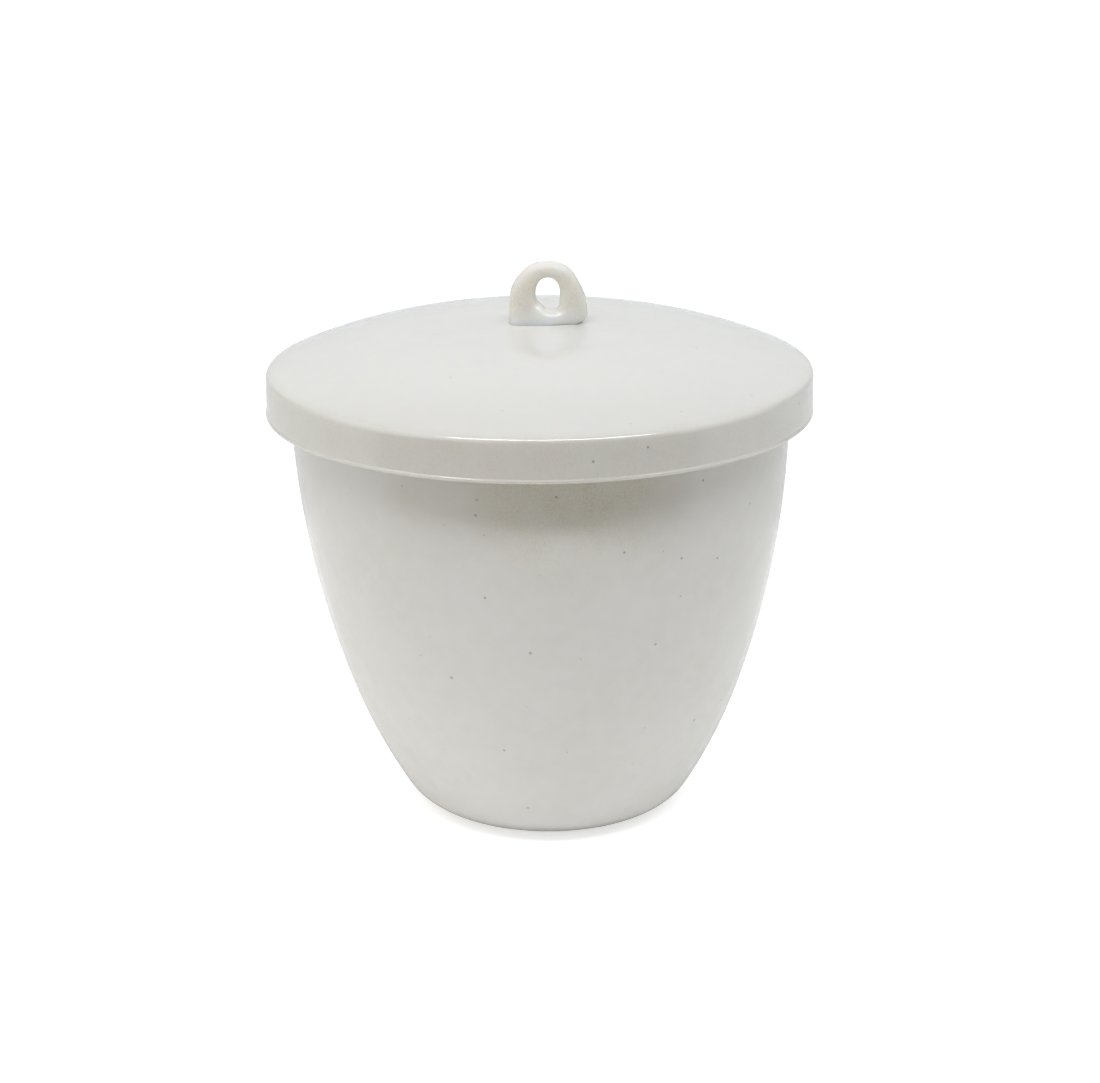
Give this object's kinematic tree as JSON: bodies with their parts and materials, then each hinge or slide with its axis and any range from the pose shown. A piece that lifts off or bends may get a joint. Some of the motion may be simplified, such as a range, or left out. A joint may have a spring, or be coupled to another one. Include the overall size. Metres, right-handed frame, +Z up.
{
  "type": "porcelain crucible with lid",
  "caption": "Tapered glazed porcelain crucible with a small flat base, and a domed skirted lid that lifts off by an eye.",
  "frame": {"origin": "centre of the flat base, on the surface that the crucible stands on", "axes": "+Z up along the cup's axis, +Y through the hole of the lid's eye, +X across the eye"},
  "size_m": [0.0556, 0.0556, 0.057],
  "materials": {
    "cup_glaze": "clear glaze over white porcelain, slightly warm",
    "lid_glaze": "clear glaze over white porcelain, glossy"
  },
  "bodies": {
    "crucible": {"crucible": "cup_glaze"},
    "lid": {"lid": "lid_glaze", "lid_loop": "lid_glaze"}
  },
  "joints": [
    {"name": "lid_lift", "type": "slide", "parent": "crucible", "child": "lid", "axis": [0, 0, 1], "range_m": [0, 0.06]}
  ]
}
